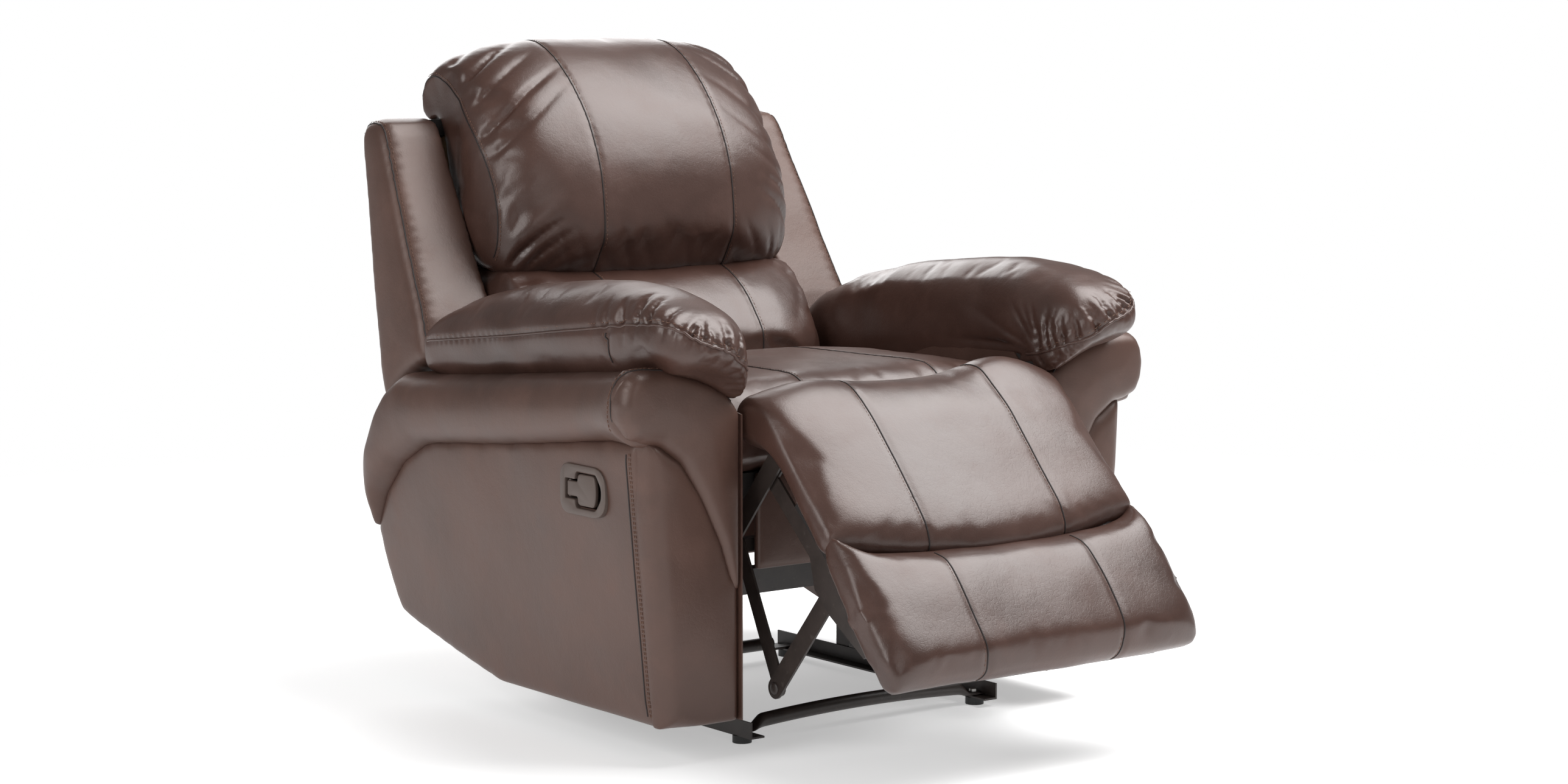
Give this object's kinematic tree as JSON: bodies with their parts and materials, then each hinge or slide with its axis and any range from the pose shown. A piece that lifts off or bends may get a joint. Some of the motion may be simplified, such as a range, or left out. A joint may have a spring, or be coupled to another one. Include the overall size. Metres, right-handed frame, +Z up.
{
  "type": "recliner armchair",
  "caption": "Leather-covered recliner armchair with pillow arms, a reclining back and a footrest that swings out on a steel linkage, released by a side paddle.",
  "frame": {"origin": "middle of the chair's footprint on the floor, footrest partly out and back upright", "axes": "+Z up, the chair faces -Y, the sitter's left is +X"},
  "size_m": [1.0252, 1.2932, 1.0597],
  "materials": {
    "brown_leather": "satin",
    "frame_wood": "matte",
    "black_steel": "satin",
    "spring_steel": "satin",
    "zinc_steel": "satin",
    "handle_plastic": "satin",
    "glide_plastic": "matte"
  },
  "bodies": {
    "base": {"arm_bolts": "zinc_steel", "arm_front_board_left": "frame_wood", "arm_front_board_right": "frame_wood", "arm_front_scroll_left": "brown_leather", "arm_front_scroll_right": "brown_leather", "arm_inner_board_left": "frame_wood", "arm_inner_board_right": "frame_wood", "arm_pillow_left": "brown_leather", "arm_pillow_right": "brown_leather", "arm_shoulder_roll_left": "brown_leather", "arm_shoulder_roll_right": "brown_leather", "arm_side_panel_left": "brown_leather", "arm_side_panel_right": "brown_leather", "arm_top_board_left": "frame_wood", "arm_top_board_right": "frame_wood", "base_cross_member": "black_steel", "base_posts": "black_steel", "base_rail_left": "black_steel", "base_rail_right": "black_steel", "floor_glides": "glide_plastic", "front_cross_tube": "black_steel", "handle_bezel": "handle_plastic", "rear_cross_tube": "black_steel", "seat_cushion": "brown_leather", "seat_front_panel": "brown_leather", "seat_front_rail": "frame_wood", "seat_front_roll": "brown_leather", "seat_rear_rail": "frame_wood", "seat_side_rail_left": "frame_wood", "seat_side_rail_right": "frame_wood", "seat_springs": "spring_steel", "side_plate_left": "black_steel", "side_plate_right": "black_steel"},
    "back": {"back_bottom_rail": "frame_wood", "back_bracket_left": "black_steel", "back_bracket_right": "black_steel", "back_middle_rail": "frame_wood", "back_rear_panel": "brown_leather", "back_springs": "spring_steel", "back_top_rail": "frame_wood", "back_upright_left": "frame_wood", "back_upright_right": "frame_wood", "head_cushion": "brown_leather", "lumbar_cushion": "brown_leather", "wing_left": "brown_leather", "wing_right": "brown_leather"},
    "footrest": {"calf_board": "frame_wood", "calf_cushion": "brown_leather", "foot_board": "frame_wood", "foot_cushion": "brown_leather", "hanger_arm_left": "black_steel", "hanger_arm_right": "black_steel"},
    "drive": {"drive_link_left": "black_steel", "drive_link_right": "black_steel", "torque_tube": "black_steel"},
    "lift": {"lift_link_left": "black_steel", "lift_link_right": "black_steel"},
    "paddle": {"release_paddle": "handle_plastic"},
    "latch": {"latch_pawl": "zinc_steel"}
  },
  "joints": [
    {"name": "back_recline", "type": "hinge", "parent": "base", "child": "back", "pos_m": [0, 0.30665, 0.33], "axis": [-1, 0, 0], "range_deg": [0, 30]},
    {"name": "footrest_swing", "type": "hinge", "parent": "base", "child": "footrest", "pos_m": [0, -0.33335, 0.47], "axis": [-1, 0, 0], "range_deg": [-42, 48]},
    {"name": "drive_turn", "type": "hinge", "parent": "base", "child": "drive", "pos_m": [0, -0.19835, 0.3074], "axis": [-1, 0, 0], "range_deg": [-42, 48]},
    {"name": "elbow_turn", "type": "hinge", "parent": "drive", "child": "lift", "pos_m": [0, -0.29835, 0.1028], "axis": [-1, 0, 0], "range_deg": [-48, 42]},
    {"name": "paddle_pull", "type": "hinge", "parent": "base", "child": "paddle", "pos_m": [-0.474, -0.08735, 0.403], "axis": [0, 0, -1], "range_deg": [0, 25], "stiffness_Nm_per_rad": 0.2, "springref_deg": -8.59},
    {"name": "latch_lift", "type": "hinge", "parent": "base", "child": "latch", "pos_m": [-0.257, -0.12135, 0.332], "axis": [-1, 0, 0], "range_deg": [0, 12]}
  ],
  "couplings": [
    {"joint": "drive_turn", "follows": "footrest_swing", "ratio": 1},
    {"joint": "elbow_turn", "follows": "footrest_swing", "ratio": -1},
    {"joint": "latch_lift", "follows": "paddle_pull", "ratio": 0.48}
  ]
}
